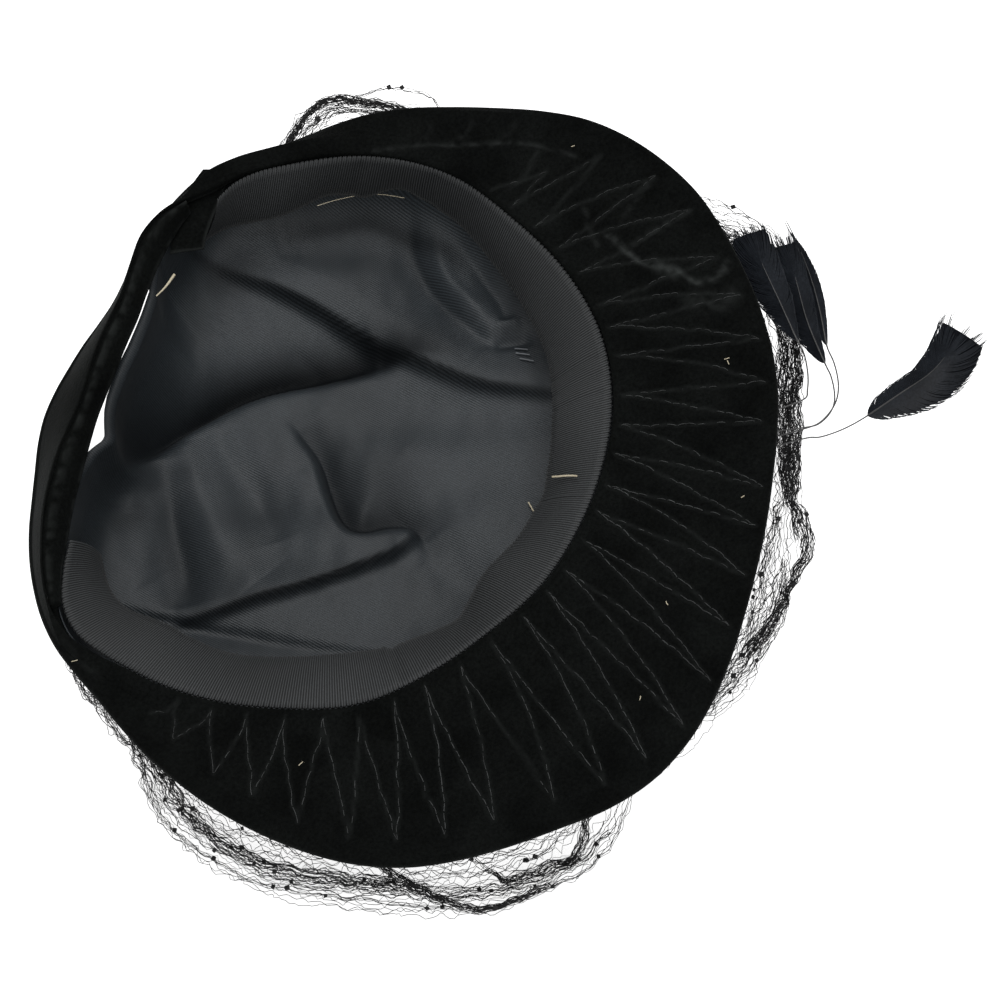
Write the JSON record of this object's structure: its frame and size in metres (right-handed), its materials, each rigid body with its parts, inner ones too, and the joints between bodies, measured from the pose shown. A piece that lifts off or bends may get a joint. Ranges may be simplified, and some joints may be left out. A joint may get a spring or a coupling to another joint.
{
  "type": "velvet hat with net veil and feathers",
  "caption": "Black velvet hat lying on its crown, with a stitched brim, back strap, ribbed head ribbon, twill lining, spotted net veil and quilled feathers.",
  "frame": {"origin": "middle of the crown tip, on the surface that the hat lies on", "axes": "+Z out of the head opening, -Y towards the wearer's front, +X to the side that carries the feathers"},
  "size_m": [0.2869, 0.2457, 0.0771],
  "materials": {
    "velvet": "matt cotton velvet, black, with a faint sheen on the pile",
    "ribbon": "ribbed grosgrain, black, low sheen",
    "lining": "twill lining cloth, black, soft sheen",
    "net": "fine knotted veiling, black",
    "feather": "glossy blue black feather"
  },
  "bodies": {
    "root": {"crown": "velvet", "brim": "velvet", "back_strap": "velvet", "head_ribbon": "ribbon", "lining_side": "lining", "lining_tip": "lining", "veil_front": "net", "veil_side": "net", "veil_far": "net", "feather_knot": "velvet", "feather_broad": "feather", "feather_middle": "feather", "feather_spike": "feather", "feather_lone": "feather"}
  },
  "joints": []
}
